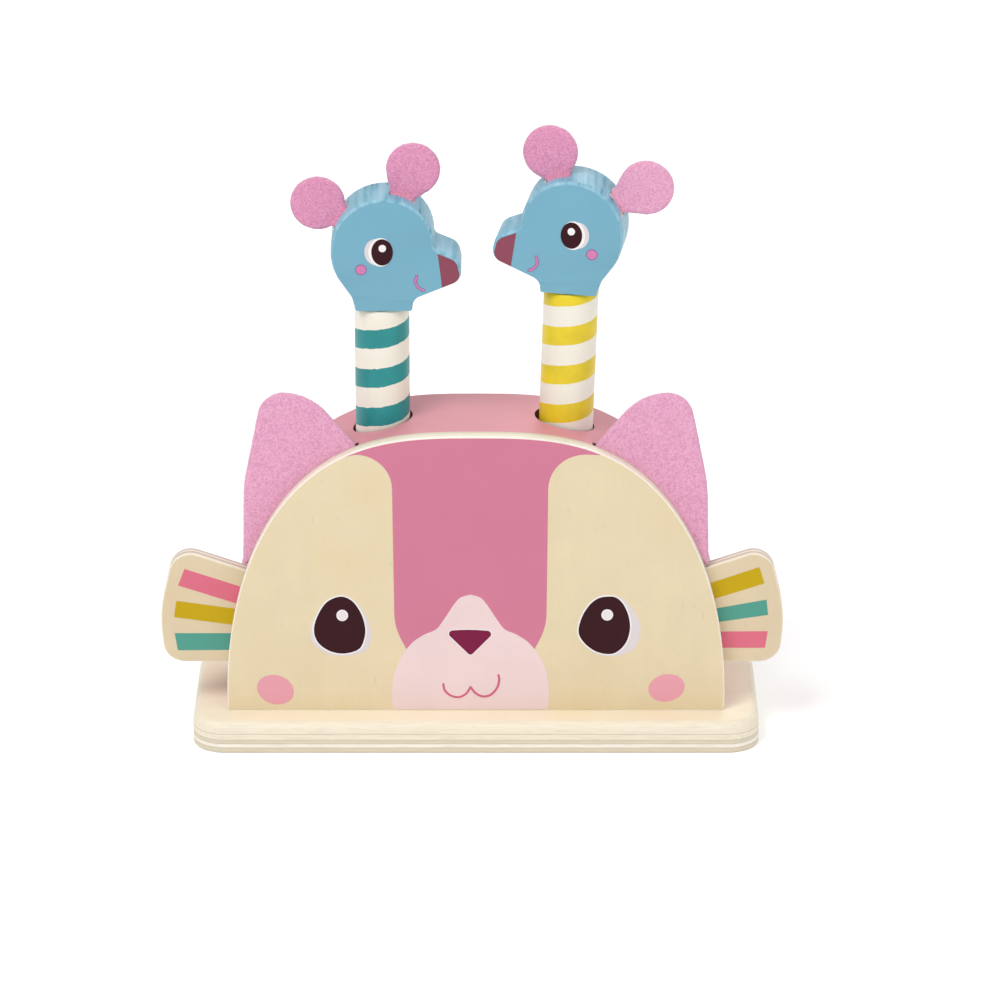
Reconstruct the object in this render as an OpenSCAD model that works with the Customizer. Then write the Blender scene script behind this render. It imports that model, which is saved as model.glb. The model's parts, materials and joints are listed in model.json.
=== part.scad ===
// Wooden pop up toy: two mice on striped pegs stand in a cat faced arch and
// pop up on springs. The origin is at the middle of the base's underside,
// +Z is up and the cat looks towards -Y. Millimetres.

/* [Base] */
// Width of the base
base_w = 210; // [205:1:230]
// Depth of the base
base_d = 70; // [66:1:84]
// Thickness of the base
base_t = 12; // [10:0.5:16]
// Radius of the base's corners, seen from above
base_corner = 12; // [6:1:20]
// Rounding of the base's top edge
base_edge = 3; // [1:0.5:4]

/* [Arch] */
// Half the width of the front panel at its foot
arch_half_w = 92.1; // [90:0.1:96]
// Height at which the straight foot of the arch turns into the curve
arch_foot = 18.4; // [16:0.1:24]
// Rise of the curve above the foot
arch_rise = 102.3; // [98:0.1:110]
// How much smaller the block is than the panel, all round the curve
block_inset = 0.2; // [0:0.1:2]
// Thickness of the front panel
panel_t = 6; // [4:0.5:8]
// Depth of the block
block_d = 40; // [38:1:44]
// Distance from the base's front edge to the panel
front_margin = 12; // [8:1:14]

/* [Mice] */
// Distance from the middle between the bores to each bore
peg_x = 33.4; // [33:0.1:36]
// How far the bores' middle lies from the toy's middle, towards +x
bores_shift = -0.8; // [-1:0.1:1]
// Diameter of the pegs
peg_d = 20; // [18:0.5:20]
// Diameter of the bores that guide the pegs
bore_d = 22; // [21:0.1:23]
// Angle by which the right mouse leans in its loose bore
lean = 1.9; // [0:0.1:2]
// Angle by which the right mouse is turned on its axis
right_turn = -8; // [-20:1:20]
// Height of the right mouse's neck
neck_z = 170; // [168:0.1:175]
// How much lower the left mouse rests on its spring
left_drop = 6.4; // [0:0.1:12]
// How far towards its snout the left head is glued off its peg's middle
left_head_shift = 0.9; // [0:0.1:1]
// Thickness of the heads
head_t = 20; // [18:0.5:20]
// Thickness of the felt ears
felt_t = 3; // [2:0.5:4]

/* [Spring and stop] */
// Height of the shoulder that stops the mice
shoulder_z = 80; // [78:1:86]
// Diameter of the wide lower bore
well_d = 31; // [30.5:0.5:32]
// Diameter of the stop washers
washer_d = 25; // [24:0.5:25]
// Thickness of the stop washers
washer_t = 1.5; // [1:0.1:2]
// Diameter of the spring's seat in the base
seat_d = 24; // [21:0.5:26]
// Depth of the spring's seat in the base
seat_depth = 3; // [1:0.5:4]
// Mean radius of the springs
spring_r = 9; // [8:0.1:9.5]
// Diameter of the spring wire
wire_d = 1.2; // [1:0.1:1.4]
// Turns of each spring
spring_turns = 10; // [8:1:12]

/* [Hidden] */
$fn = 96;

LEFT = -1;
RIGHT = 1;

plywood = [0.93, 0.84, 0.70];
pink_paint = [0.84, 0.55, 0.60];
felt_pink = [0.93, 0.63, 0.78];
mouse_blue = [0.47, 0.69, 0.77];
teal = [0.20, 0.60, 0.60];
yellow = [0.92, 0.80, 0.25];
steel = [0.72, 0.73, 0.75];
raw_wood = [0.88, 0.76, 0.58];

// A little more than nothing, so that cuts pass right through
past = 1;
// Play round a glued piece in its pocket
play = 0.1;

panel_front = -base_d / 2 + front_margin;
block_front = panel_front + panel_t;
peg_y = block_front + block_d / 2;

// ---- outlines -------------------------------------------------------------

function unit(v) = v / norm(v);

// Points of the rounded corner at b, between a and c, each [x, z, radius]
function round_corner(a, b, c, steps = 10) =
    let (to_a = unit([a.x - b.x, a.y - b.y]),
         to_c = unit([c.x - b.x, c.y - b.y]),
         half = acos(to_a * to_c) / 2,
         middle = [b.x, b.y] + unit(to_a + to_c) * b.z / sin(half),
         start = [b.x, b.y] + to_a * b.z / tan(half) - middle,
         first = atan2(start.y, start.x),
         side = sign(to_c.x * to_a.y - to_c.y * to_a.x),
         sweep = side * (180 - 2 * half))
    [for (i = [0:steps]) middle + b.z * [cos(first + sweep * i / steps), sin(first + sweep * i / steps)]];

// Closed outline through rounded corners
function rounded(corners) =
    let (n = len(corners))
    [for (i = [0:n - 1])
        each round_corner(corners[(i + n - 1) % n], corners[i], corners[(i + 1) % n])];

// Outline of the arch: straight feet, then a curve that is blunter than an ellipse
function arch(inset, steps = 56) =
    let (a = arch_half_w - inset, rise = arch_rise - inset)
    concat(
        [[-a, base_t], [a, base_t]],
        [for (i = [0:steps])
            let (t = 180 * i / steps, c = cos(t))
            [a * sign(c) * pow(abs(c), 2 / 3), arch_foot + rise * sin(t)]]);

// Side view of a head: snout towards +x, the neck's foot at z = 0
HEAD = rounded([
    [10.4, 0, 0.6], [10.7, 4.5, 4.5], [28.8, 12, 4.5], [27.2, 20.3, 5.2],
    [18.3, 24.1, 2.6], [17.9, 42.8, 17.4], [-18.6, 43.1, 19.7],
    [-19.2, 16.3, 19], [-11.5, 5, 7], [-10.3, 0, 0.6]
]);
// Middle and radius of the round of the head, where the ears stand
head_middle = [-0.3, 23.8];
head_r = 18.6;

// Felt ears, each cut and set a little differently: angle from the top of the
// head towards the snout, height of the disc's middle and radius of the disc
LEFT_EARS = [[22.3, 10.7, 9.8], [-58.8, 8.9, 9.9]];
RIGHT_EARS = [[20.4, 9.7, 10], [-58.2, 11.4, 10]];
ear_root_half = 4.6;
ear_root_depth = 3.6;
ear_slot_extra = 0.6;
ear_seat_w = 7.6;
ear_seat_depth = 0.4;

// The right whisker plate, its inner part hidden in the block
WHISKER = rounded([
    [78, 29.1, 0.5], [113.8, 29.1, 8], [115.5, 49.1, 50], [109.4, 74.8, 8], [78, 63.8, 0.5]
]);
// How far both whisker plates lie off the middle, towards +x
whiskers_shift = -1.4;
// The right ear of the cat, its root hidden behind the panel
CAT_EAR = rounded([
    [43.3, 114.4, 1], [85.8, 66.4, 0.6], [84.9, 99.9, 60], [77.6, 135.7, 9.7], [60.1, 134.5, 21]
]);
whisker_pocket = [[77.9, 29], [99, 29], [99, 71.5], [77.9, 64]];
cat_ear_pocket = [[41.3, 112.2], [86.2, 65.3], [99, 70], [99, 130], [41.3, 130]];

base_screw_x = [-72, 0, 72];
screw_d = 4;
screw_len = 32;
screw_head_d = 8;
screw_head_t = 2.6;
screw_sink = 0.6;

pin_d = 8;
pin_len = 28;
stop_screw_d = 3.6;
stop_screw_len = 18;
stop_head_d = 7.5;
stop_head_t = 2.4;

// ---- helpers --------------------------------------------------------------

// An outline in x and z, extruded from y = from towards +y
module plate(outline, from, thick)
    translate([0, from + thick, 0]) rotate([90, 0, 0]) linear_extrude(thick) polygon(outline);

// Mirrors a right hand piece to the left side
module on_side(side) mirror([side == LEFT ? 1 : 0, 0, 0]) children();

function bore_x(side) = side * peg_x + bores_shift;

// Height about which the right mouse leans: half way up its guide
lean_z = shoulder_z + 20;

// Places a mouse's piece: x = 0 on the peg's axis, y = 0 at its middle, z = 0 at the neck
module at_mouse(side)
    if (side == LEFT)
        translate([bore_x(LEFT), peg_y, neck_z - left_drop]) children();
    else
        translate([bore_x(RIGHT), peg_y, lean_z]) rotate([0, lean, 0])
            translate([0, 0, neck_z - lean_z]) rotate([0, 0, right_turn])
                mirror([1, 0, 0]) children();

// Places a piece of a head
module at_head(side) at_mouse(side) translate([side == LEFT ? left_head_shift : 0, 0, 0]) children();

// Places a piece on the round of the head, z = 0 at the surface
module on_head(angle)
    translate([head_middle.x, 0, head_middle.y]) rotate([0, angle, 0])
        translate([0, 0, head_r]) children();

// How far a leaning washer's rim stands above its middle, and a little play
rim_lift = washer_d / 2 * sin(lean) + 0.03;

function peg_len() = neck_z - shoulder_z + rim_lift;

// ---- base -----------------------------------------------------------------

// Half section of the base's rim, from the corner's middle outwards
module rim_section()
    difference() {
        square([base_corner, base_t]);
        translate([base_corner - base_edge, base_t - base_edge]) difference() {
            square(base_edge + past);
            circle(base_edge);
        }
    }

module base_blank() {
    side_x = base_w / 2 - base_corner;
    side_y = base_d / 2 - base_corner;
    translate([-side_x, -side_y, 0]) cube([2 * side_x, 2 * side_y, base_t]);
    for (turn = [0, 180]) rotate([0, 0, turn]) {
        translate([side_x, side_y, 0]) rotate([90, 0, 0]) linear_extrude(2 * side_y) rim_section();
        translate([-side_x, side_y, 0]) rotate([90, 0, 90]) linear_extrude(2 * side_x) rim_section();
        translate([side_x, side_y, 0]) rotate_extrude(angle = 90) rim_section();
        translate([-side_x, side_y, 0]) rotate([0, 0, 90]) rotate_extrude(angle = 90) rim_section();
    }
}

// One countersunk wood screw, its head below, standing on z = 0
module wood_screw(d, length, head_d, head_t) {
    cylinder(d1 = head_d, d2 = d, h = head_t);
    cylinder(d = d, h = length);
}

module base_plate() color(plywood)
    difference() {
        base_blank();
        for (x = base_screw_x) translate([x, peg_y, 0]) {
            translate([0, 0, -past]) cylinder(d = screw_d + 0.2, h = base_t + 2 * past);
            translate([0, 0, -past]) cylinder(d = screw_head_d + 0.4, h = screw_sink + past);
            translate([0, 0, screw_sink])
                cylinder(d1 = screw_head_d + 0.4, d2 = screw_d + 0.2, h = screw_head_t);
        }
        for (side = [LEFT, RIGHT]) translate([bore_x(side), peg_y, base_t - seat_depth])
            cylinder(d = seat_d, h = seat_depth + past);
    }

module base_screws() color(steel)
    for (x = base_screw_x) translate([x, peg_y, screw_sink])
        wood_screw(screw_d, screw_len, screw_head_d, screw_head_t);

// ---- arch -----------------------------------------------------------------

module body_block() color(pink_paint)
    difference() {
        plate(arch(block_inset), block_front, block_d);
        for (side = [LEFT, RIGHT]) {
            translate([bore_x(side), peg_y, 0]) {
                cylinder(d = bore_d, h = arch_foot + arch_rise + past);
                cylinder(d = well_d, h = shoulder_z);
            }
            on_side(side) plate(cat_ear_pocket, block_front - past, felt_t + play + past);
            translate([whiskers_shift, 0, 0]) on_side(side) plate(whisker_pocket, block_front - past,
                panel_t + play + past);
        }
        for (x = base_screw_x) translate([x, peg_y, 0])
            cylinder(d = screw_d, h = screw_sink + screw_len + 2);
    }

module front_panel() color(plywood) plate(arch(0), panel_front, panel_t);

module whisker(side) color(plywood)
    translate([whiskers_shift, 0, 0]) on_side(side) plate(WHISKER, block_front, panel_t);

module cat_ear(side) color(felt_pink) on_side(side) plate(CAT_EAR, block_front, felt_t);

// ---- mice -----------------------------------------------------------------

// Outline of a felt ear: a disc that narrows to its root
module ear_shape(height, radius) {
    hull() {
        translate([0, height]) circle(radius, $fn = 48);
        translate([-ear_root_half, 0]) square([2 * ear_root_half, 0.5]);
    }
    translate([-ear_root_half, -ear_root_depth]) square([2 * ear_root_half, ear_root_depth + 0.5]);
}

// A felt ear, from its row in the list of ears
module ear(side, row) color(felt_pink)
    at_head(side) on_head(row[0]) translate([0, felt_t / 2, 0]) rotate([90, 0, 0])
        linear_extrude(felt_t) ear_shape(row[1], row[2]);

// The slot for an ear's root, with a shallow seat that shows the bare wood
module ear_slot() {
    slot_w = 2 * ear_root_half + ear_slot_extra;
    slot_t = felt_t + ear_slot_extra;
    slot_depth = ear_root_depth + ear_slot_extra;
    translate([-slot_w / 2, -slot_t / 2, -slot_depth]) cube([slot_w, slot_t, slot_depth + 4]);
    translate([-slot_w / 2, -ear_seat_w / 2, -ear_seat_depth]) cube([slot_w, ear_seat_w, ear_seat_depth + 4]);
}

module head(side) color(mouse_blue)
    difference() {
        at_head(side) difference() {
            plate(HEAD, -head_t / 2, head_t);
            for (row = side == LEFT ? LEFT_EARS : RIGHT_EARS) on_head(row[0]) ear_slot();
        }
        at_mouse(side) translate([0, 0, -past]) cylinder(d = pin_d, h = pin_len / 2 + 0.5 + past);
    }

module neck_pin(side) color(raw_wood)
    at_mouse(side) translate([0, 0, -pin_len / 2]) cylinder(d = pin_d, h = pin_len);

module peg(side) color(side == LEFT ? teal : yellow)
    at_mouse(side) translate([0, 0, -peg_len()]) difference() {
        rotate_extrude() polygon([
            [0, 0], [peg_d / 2 - 1, 0], [peg_d / 2, 1], [peg_d / 2, peg_len() - 0.7],
            [peg_d / 2 - 0.7, peg_len()], [0, peg_len()]
        ]);
        translate([0, 0, peg_len() - pin_len / 2 - 0.5]) cylinder(d = pin_d, h = pin_len);
        translate([0, 0, -past]) cylinder(d = stop_screw_d, h = stop_screw_len + 1.5 + past);
    }

// ---- stop and spring ------------------------------------------------------

module stop_washer(side) color(steel)
    at_mouse(side) translate([0, 0, -peg_len() - washer_t]) difference() {
        cylinder(d = washer_d, h = washer_t);
        translate([0, 0, -past]) cylinder(d = stop_screw_d + 0.4, h = washer_t + 2 * past);
    }

module stop_screw(side) color(steel)
    at_mouse(side) translate([0, 0, -peg_len() - washer_t]) {
        translate([0, 0, -stop_head_t]) cylinder(d = stop_head_d, h = stop_head_t);
        cylinder(d = stop_screw_d, h = washer_t + stop_screw_len);
    }

// Wire of a helix with flat ends: rings of six points, joined ring to ring
module helix(radius, wire, turns, height) {
    per_turn = 8;
    sides = 6;
    rings = turns * per_turn;
    points = [for (k = [0:rings], s = [0:sides - 1])
        let (turn = 360 * k / per_turn,
             out = radius + wire / 2 * cos(360 * s / sides),
             up = wire / 2 + (height - wire) * k / rings + wire / 2 * sin(360 * s / sides))
        [out * cos(turn), out * sin(turn), up]];
    skin = [for (k = [0:rings - 1], s = [0:sides - 1])
        let (a = k * sides + s, b = k * sides + (s + 1) % sides)
        each [[a, b, b + sides], [a, b + sides, a + sides]]];
    start = [for (s = [1:sides - 2]) [0, s + 1, s]];
    end = [for (s = [1:sides - 2]) [rings * sides, rings * sides + s, rings * sides + s + 1]];
    gap = (height - wire) / turns - wire;
    echo(str("least gap between turns: ", gap, " mm"));
    polyhedron(points, concat(skin, start, end));
}

module spring(side) color(steel) {
    seat = base_t - seat_depth;
    clear = 0.1;
    top = shoulder_z - rim_lift - washer_t - (side == LEFT ? left_drop : rim_lift);
    translate([bore_x(side), peg_y, seat + clear])
        helix(spring_r, wire_d, spring_turns, top - seat - 2 * clear);
}

// ---- the toy --------------------------------------------------------------

base_plate();
base_screws();
body_block();
front_panel();
whisker(LEFT);  // whisker_left
whisker(RIGHT);  // whisker_right
cat_ear(LEFT);  // cat_ear_left
cat_ear(RIGHT);  // cat_ear_right
head(LEFT);  // head_left
neck_pin(LEFT);  // neck_pin_left
peg(LEFT);  // peg_left
ear(LEFT, LEFT_EARS[0]);  // ear_front_left
ear(LEFT, LEFT_EARS[1]);  // ear_rear_left
stop_washer(LEFT);  // stop_washer_left
stop_screw(LEFT);  // stop_screw_left
spring(LEFT);  // spring_left
head(RIGHT);  // head_right
neck_pin(RIGHT);  // neck_pin_right
peg(RIGHT);  // peg_right
ear(RIGHT, RIGHT_EARS[0]);  // ear_front_right
ear(RIGHT, RIGHT_EARS[1]);  // ear_rear_right
stop_washer(RIGHT);  // stop_washer_right
stop_screw(RIGHT);  // stop_screw_right
spring(RIGHT);  // spring_right
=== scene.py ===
"""The looks of a wooden pop up toy: a cat faced arch with two mice on striped pegs.

Shapes are worked out in millimetres in the frame's own axes and written to the meshes in metres.
"""

import json
import math

import bmesh
import bpy
from mathutils import Matrix, Vector, noise


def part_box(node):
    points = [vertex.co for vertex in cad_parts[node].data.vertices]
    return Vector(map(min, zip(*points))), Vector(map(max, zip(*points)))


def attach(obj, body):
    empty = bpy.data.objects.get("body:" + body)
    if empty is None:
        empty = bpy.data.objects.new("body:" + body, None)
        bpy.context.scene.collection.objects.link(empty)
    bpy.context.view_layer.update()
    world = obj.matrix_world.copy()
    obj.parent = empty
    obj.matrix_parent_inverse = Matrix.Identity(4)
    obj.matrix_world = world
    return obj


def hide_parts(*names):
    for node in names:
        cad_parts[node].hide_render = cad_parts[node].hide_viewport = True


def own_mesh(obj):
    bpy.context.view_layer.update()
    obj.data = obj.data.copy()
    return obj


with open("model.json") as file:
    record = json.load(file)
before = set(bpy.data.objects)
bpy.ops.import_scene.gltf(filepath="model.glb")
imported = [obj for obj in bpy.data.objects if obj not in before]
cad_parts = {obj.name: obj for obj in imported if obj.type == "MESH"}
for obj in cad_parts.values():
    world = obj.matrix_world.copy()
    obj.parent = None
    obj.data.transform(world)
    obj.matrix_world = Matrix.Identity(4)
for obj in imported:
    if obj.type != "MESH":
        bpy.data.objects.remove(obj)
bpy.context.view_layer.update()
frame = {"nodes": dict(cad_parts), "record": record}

MM = 0.001
LEFT, RIGHT = -1, 1
SIDE_NAMES = {LEFT: "left", RIGHT: "right"}
# The body that each mouse moves with
MOUSE = {LEFT: "mouse_left", RIGHT: "mouse_right"}


def node_box(name):
    """Lowest and highest corner of a CAD node, in millimetres."""
    low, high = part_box(name)
    return low / MM, high / MM


# ---- sizes, from the frame ------------------------------------------------

base_high = node_box("base_plate")[1]
panel_low, panel_high = node_box("front_panel")
block_low, block_high = node_box("body_block")
BASE_T = base_high.z
PANEL_FRONT, PANEL_BACK = panel_low.y, panel_high.y
PANEL_T = PANEL_BACK - PANEL_FRONT
peg_low, peg_high = node_box("peg_left")
PEG_R = (peg_high.x - peg_low.x) / 2
PEG_LEN = peg_high.z - peg_low.z
head_low, head_high = node_box("head_left")
HEAD_T = head_high.y - head_low.y
ear_low, ear_high = node_box("cat_ear_right")
FELT_T = ear_high.y - ear_low.y

BASE_CORNER = 12
BASE_EDGE = 3
ARCH_FOOT = 18.4
ARCH_POWER = 2 / 3
BORE_R = 11
# The wide lower part of each bore, up to the shoulder that stops the washer
WELL_R = 15.5
SHOULDER_Z = 80
# Room round a spring in its seat in the base, and round the head of a base screw
SEAT_PLAY = 0.5
SCREW_PLAY = 0.3
SCREW_HEAD_T = 1.8
# How far a cutter runs past the surface it opens
PAST = 1
# How much thicker a pocket or slot is than what sits in it
POCKET_PLAY = 0.1
SLOT_PLAY = 0.2
# Where the right mouse's axis crosses its bore's, half way up the guide
LEAN_Z = 100

# How each mouse stands: its lean and turn in degrees, and how far its head is glued off its peg
LEAN = {LEFT: 0, RIGHT: 1.9}
TURN = {LEFT: 0, RIGHT: -8}
HEAD_SHIFT = {LEFT: 0.9, RIGHT: 0}


def neck_frame(side):
    """The place of a mouse: its origin at the middle of the neck's foot, z along the peg."""
    low, high = node_box("peg_" + SIDE_NAMES[side])
    middle = Matrix.Translation((low + high) / 2)
    lean = Matrix.Rotation(math.radians(LEAN[side]), 4, "Y")
    return middle @ lean @ Matrix.Translation((0, 0, PEG_LEN / 2))


NECK = {side: neck_frame(side) for side in (LEFT, RIGHT)}


def bore_middle(side):
    """The middle of a bore, seen from above."""
    along = NECK[side].to_3x3() @ Vector((0, 0, 1))
    top = NECK[side].translation
    return top - along * (top.z - LEAN_Z) / along.z


# ---- colours --------------------------------------------------------------


def srgb(red, green, blue):
    """A colour given in 0 to 255 display values, as the linear colour a shader takes."""

    def linear(v):
        v /= 255
        return v / 12.92 if v <= 0.04045 else ((v + 0.055) / 1.055) ** 2.4

    return (linear(red), linear(green), linear(blue), 1)


PLY_LIGHT = srgb(240, 230, 208)
PLY_PALE = srgb(249, 242, 230)
PLY_DARK = srgb(223, 211, 187)
PLY_ROSE = srgb(206, 186, 178)
GLUE_LINE = srgb(188, 177, 156)
FELT_LIGHT = srgb(247, 174, 210)
FELT_MID = srgb(238, 155, 194)
FELT_DARK = srgb(208, 124, 166)
FELT_PALE_LIGHT = srgb(252, 192, 222)
FELT_PALE_MID = srgb(246, 173, 208)
FELT_PALE_DARK = srgb(218, 138, 178)
MOUSE_BLUE = srgb(114, 171, 193)
MOUSE_BLUE_PALE = srgb(152, 194, 212)
MOUSE_BLUE_DEEP = srgb(70, 118, 138)
TEAL = srgb(20, 146, 147)
YELLOW = srgb(235, 208, 28)
PEG_WHITE = srgb(238, 235, 220)
PEG_WHITE_DEEP = srgb(240, 231, 217)
STEEL = srgb(190, 192, 196)
FLOOR_WHITE = srgb(247, 247, 247)
WHITE = (1, 1, 1, 1)


# ---- material building ----------------------------------------------------


def shaded(colour, share, lift=0.0):
    """A colour with its channels scaled by a share, then lifted."""
    return tuple(min(1, c * share + lift) for c in colour[:3]) + (1,)


class Shader:
    """A material under construction: makes nodes and joins them up."""

    def __init__(self, name):
        self.material = bpy.data.materials.new(name)
        self.material.use_nodes = True
        self.nodes = self.material.node_tree.nodes
        self.links = self.material.node_tree.links
        self.bsdf = self.nodes["Principled BSDF"]
        self.coords = self.nodes.new("ShaderNodeTexCoord").outputs["Object"]

    def value(self, socket, value):
        """Sets a socket to a number or colour, or links it."""
        if isinstance(value, bpy.types.NodeSocket):
            self.links.new(value, socket)
        else:
            socket.default_value = value

    def math(self, operation, a, b=0.0):
        node = self.nodes.new("ShaderNodeMath")
        node.operation = operation
        self.value(node.inputs[0], a)
        self.value(node.inputs[1], b)
        return node.outputs[0]

    def stretched(self, scale):
        """Object coordinates scaled by a different amount along each axis."""
        node = self.nodes.new("ShaderNodeMapping")
        node.inputs["Scale"].default_value = scale
        self.links.new(self.coords, node.inputs["Vector"])
        return node.outputs["Vector"]

    def noise(self, scale, detail=3.0, vector=None, roughness=0.5):
        node = self.nodes.new("ShaderNodeTexNoise")
        node.inputs["Scale"].default_value = scale
        node.inputs["Detail"].default_value = detail
        node.inputs["Roughness"].default_value = roughness
        self.links.new(vector or self.coords, node.inputs["Vector"])
        return node.outputs["Fac"]

    def spread(self, factor, low, high):
        """Stretches the part of factor between low and high to 0 to 1."""
        node = self.nodes.new("ShaderNodeMapRange")
        self.value(node.inputs["Value"], factor)
        node.inputs["From Min"].default_value = low
        node.inputs["From Max"].default_value = high
        return node.outputs["Result"]

    def part(self, factor, low, high, most):
        """As spread, but up to most instead of 1."""
        return self.math("MULTIPLY", self.spread(factor, low, high), most)

    def line(self, factor, slope, start):
        """The factor scaled by a slope and added to a start."""
        return self.math("ADD", self.math("MULTIPLY", factor, slope), start)

    def uneven(self, noise, size):
        """Noise about zero, that many millimetres from its lowest to its highest."""
        return self.math("MULTIPLY", self.math("SUBTRACT", noise, 0.5), size * MM)

    def mix(self, factor, a, b):
        node = self.nodes.new("ShaderNodeMix")
        node.data_type = "RGBA"
        self.value(node.inputs["Factor"], factor)
        self.value(node.inputs["A"], a)
        self.value(node.inputs["B"], b)
        return node.outputs["Result"]

    def axes(self, vector=None):
        node = self.nodes.new("ShaderNodeSeparateXYZ")
        self.links.new(vector or self.coords, node.inputs[0])
        return node.outputs["X"], node.outputs["Y"], node.outputs["Z"]

    def bump(self, height, depth, strength):
        """Adds a bump, its depth in millimetres, over any that is there already."""
        node = self.nodes.new("ShaderNodeBump")
        node.inputs["Distance"].default_value = depth * MM
        node.inputs["Strength"].default_value = strength
        self.links.new(height, node.inputs["Height"])
        before = self.bsdf.inputs["Normal"].links
        if before:
            self.links.new(before[0].from_socket, node.inputs["Normal"])
        self.links.new(node.outputs["Normal"], self.bsdf.inputs["Normal"])

    def finish(self, colour, roughness):
        self.value(self.bsdf.inputs["Base Color"], colour)
        self.value(self.bsdf.inputs["Roughness"], roughness)
        return self.material


# Noise scales, across and along the grain, of what shows in wood and through paint
FIGURE = (62, 12)
FIBRE = (1500, 70)
PORE = (900, 260)
PLY_FIBRE = (1500, 120)
PAINTED_GRAIN = (700, 40)
BRUSH_STROKE = (420, 26)
PEG_GRAIN = (900, 30)


def grained(scales, grain):
    """Noise scales for the three axes; grain is the axis, 0 to 2, that the fibres run along."""
    across, along = scales
    out = [across] * 3
    out[grain] = along
    return out


def wood_face(name, colour, grain):
    """Sanded birch veneer: soft blotches and faint grain."""
    s = Shader(name)
    figure = s.noise(1, 4, s.stretched(grained(FIGURE, grain)), 0.55)
    fibre = s.noise(1, 3, s.stretched(grained(FIBRE, grain)))
    blotches = s.noise(38, 4, roughness=0.6)
    deep = shaded(colour, 0.93)
    warm = (colour[0] * 0.98, colour[1] * 0.93, colour[2] * 0.84, 1)
    toned = s.mix(s.part(figure, 0.4, 0.7, 0.45), colour, deep)
    toned = s.mix(s.part(blotches, 0.5, 0.72, 0.5), toned, warm)
    toned = s.mix(s.part(blotches, 0.48, 0.32, 0.6), toned, shaded(colour, 1.05))
    toned = s.mix(s.part(fibre, 0.55, 0.8, 0.3), toned, deep)
    pores = s.noise(1, 2, s.stretched(grained(PORE, grain)))
    toned = s.mix(s.part(pores, 0.7, 0.78, 0.35), toned, GLUE_LINE)
    s.bump(fibre, 0.04, 0.5)
    return s.finish(toned, s.line(figure, 0.12, 0.42))


# Half the width of a glue line
GLUE_HALF = 0.18


def ply_edge(name, axis, start, thickness, lines, tones):
    """The edge of plywood: plies of some tones stacked along an axis, parted at the heights in lines."""
    s = Shader(name)
    height = s.math("ADD", s.axes()[axis], s.uneven(s.noise(60, 2), 0.35))
    factor = s.math("DIVIDE", s.math("SUBTRACT", height, start * MM), thickness * MM)
    ramp = s.nodes.new("ShaderNodeValToRGB")
    s.links.new(factor, ramp.inputs["Fac"])
    stops = ramp.color_ramp.elements
    stops[0].position, stops[0].color = 0, tones[0]
    stops[-1].position, stops[-1].color = 1, tones[-1]
    for i, at in enumerate(lines):
        for offset, tone in ((-GLUE_HALF, tones[i]), (0, GLUE_LINE), (GLUE_HALF, tones[i + 1])):
            stops.new((at + offset) / thickness).color = tone
    streak = s.noise(1, 4, s.stretched(grained(PLY_FIBRE, 0)), 0.6)
    toned = s.mix(s.part(streak, 0.45, 0.75, 0.3), ramp.outputs["Color"], GLUE_LINE)
    s.bump(streak, 0.08, 0.6)
    return s.finish(toned, 0.55)


def paint(name, colour, roughness, grain=None, gloss=0.5):
    """Paint on wood: a little uneven in tone, with the wood's grain just showing through."""
    s = Shader(name)
    s.bsdf.inputs["Specular IOR Level"].default_value = gloss
    clouds = s.noise(40, 3)
    toned = s.mix(s.spread(clouds, 0.35, 0.7), colour, shaded(colour, 0.955))
    specks = s.part(s.noise(900, 2), 0.7, 0.78, 0.5)
    toned = s.mix(specks, toned, shaded(colour, 1.12, 0.02))
    if grain is not None:
        s.bump(s.noise(1, 3, s.stretched(grained(PAINTED_GRAIN, grain))), 0.03, 0.6)
    s.bump(s.noise(1500, 2), 0.02, 0.4)
    return s.finish(toned, s.line(clouds, 0.12, roughness))


def brushed_blue(name):
    """The mice's edges: paint brushed across the thickness, thin on crests and deep in hollows."""
    s = Shader(name)
    strokes = s.noise(1, 4, s.stretched(grained(BRUSH_STROKE, 1)), 0.65)
    patches = s.noise(75, 3)
    toned = s.mix(s.spread(strokes, 0.36, 0.62), MOUSE_BLUE_PALE, MOUSE_BLUE)
    dark = s.math("MULTIPLY", s.spread(strokes, 0.55, 0.68), s.spread(patches, 0.45, 0.6))
    toned = s.mix(dark, toned, MOUSE_BLUE_DEEP)
    s.bump(strokes, 0.18, 0.7)
    return s.finish(toned, 0.42)


def felt(name, light, mid, dark):
    """Pressed felt: mottled, matt, with stray fibres and a soft sheen."""
    s = Shader(name)
    tufts = s.noise(1500, 3, roughness=0.7)
    wave = s.nodes.new("ShaderNodeTexWave")
    wave.inputs["Scale"].default_value = 330
    wave.inputs["Distortion"].default_value = 30
    wave.inputs["Detail"].default_value = 4
    wave.inputs["Detail Scale"].default_value = 3
    s.links.new(s.coords, wave.inputs["Vector"])
    fibres = wave.outputs["Fac"]
    specks = s.noise(2600, 2, roughness=0.6)
    toned = s.mix(s.spread(tufts, 0.34, 0.56), dark, mid)
    toned = s.mix(s.spread(tufts, 0.5, 0.7), toned, light)
    toned = s.mix(s.math("MULTIPLY", fibres, 0.4), toned, light)
    toned = s.mix(s.part(specks, 0.62, 0.72, 0.5), toned, dark)
    s.bump(tufts, 0.5, 0.7)
    s.bump(fibres, 0.2, 0.5)
    s.bsdf.inputs["Sheen Weight"].default_value = 0.4
    s.bsdf.inputs["Sheen Roughness"].default_value = 0.5
    return s.finish(toned, 0.95)


# How far the stripe climbs in a turn, its share of that, and how far it swings off an even climb
STRIPE_PITCH = 15.1
STRIPE_SHARE = 0.48
STRIPE_SWAY = 0.97
# Added before taking the fraction, so that it is never of a negative number
WHOLE_TURNS = 100


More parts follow.
